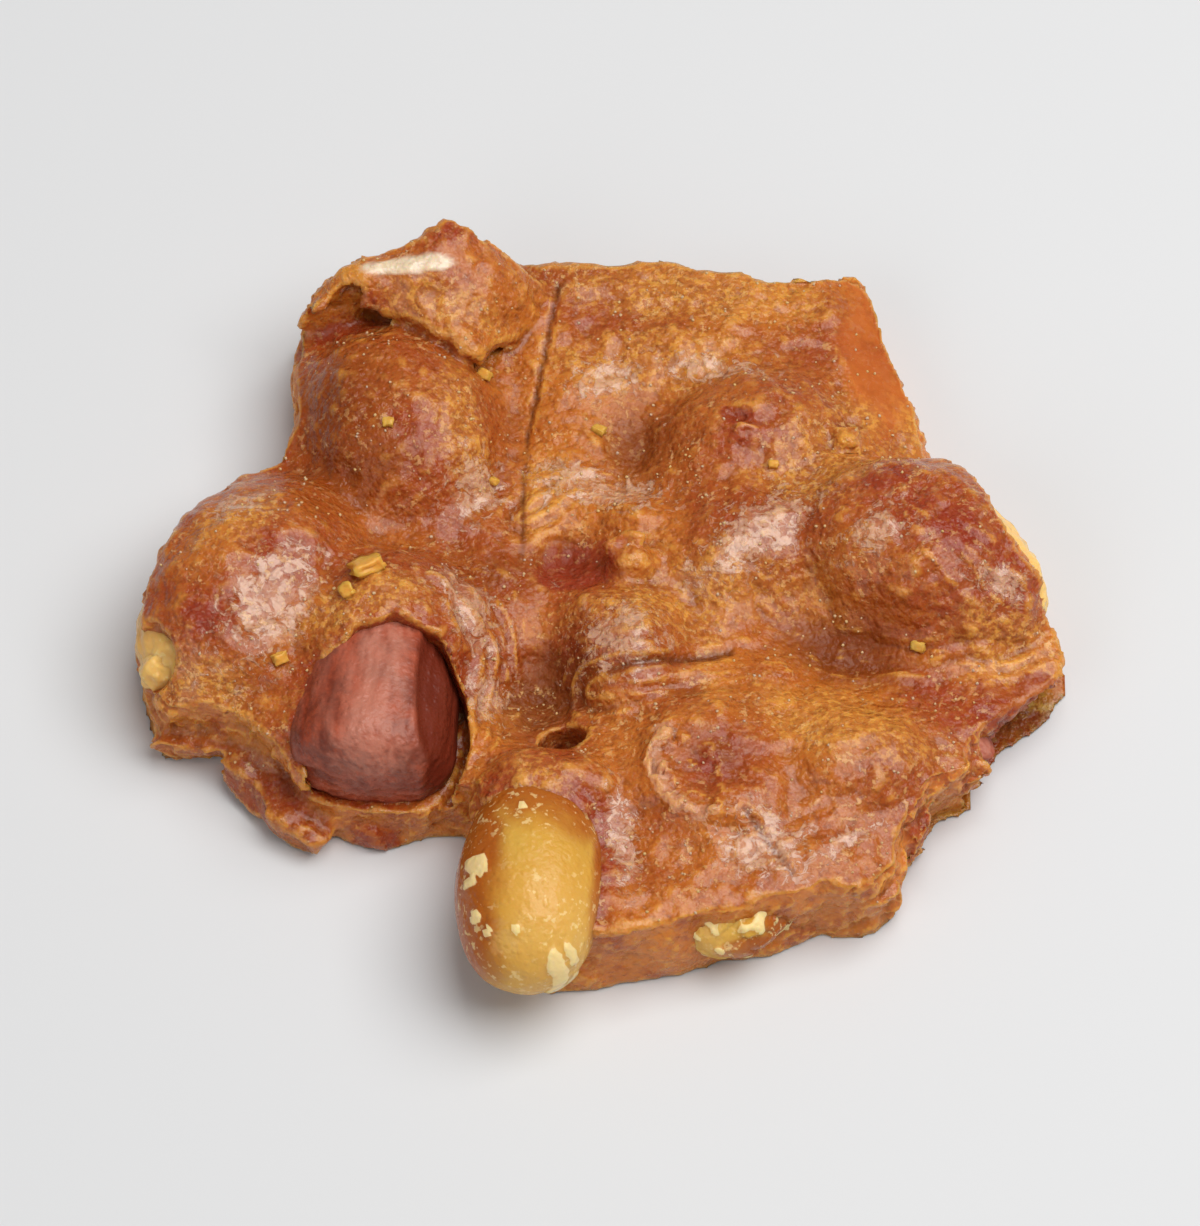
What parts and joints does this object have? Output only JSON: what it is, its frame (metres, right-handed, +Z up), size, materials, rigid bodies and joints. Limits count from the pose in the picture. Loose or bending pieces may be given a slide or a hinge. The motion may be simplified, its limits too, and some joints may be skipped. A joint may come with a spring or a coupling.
{
  "type": "peanut brittle shard",
  "caption": "Broken shard of glossy amber peanut brittle lying flat, with whole peanuts bulging under the candy and bare where the candy has chipped away.",
  "frame": {"origin": "middle of the bounding box in plan, on the flat underside that the shard rests on", "axes": "+X along the longer side in plan, +Y towards the long back edge, +Z up out of the glossy top"},
  "size_m": [0.0602, 0.0546, 0.0108],
  "materials": {
    "candy": "glossy amber brown hard candy, with fine bubbles and pale wrinkled glints",
    "roasted_kernel": "golden roasted peanut with its skin off, thinly glazed",
    "red_skin": "smooth brownish red peanut skin with fine lengthwise veins, thinly glazed"
  },
  "bodies": {
    "root": {"brittle": "candy", "peanut_bare_front": "roasted_kernel", "peanut_skin_front": "red_skin", "peanut_left_end": "roasted_kernel", "peanut_right_end": "roasted_kernel", "peanut_skin_notch": "red_skin", "peanut_fragment": "roasted_kernel"}
  },
  "joints": []
}
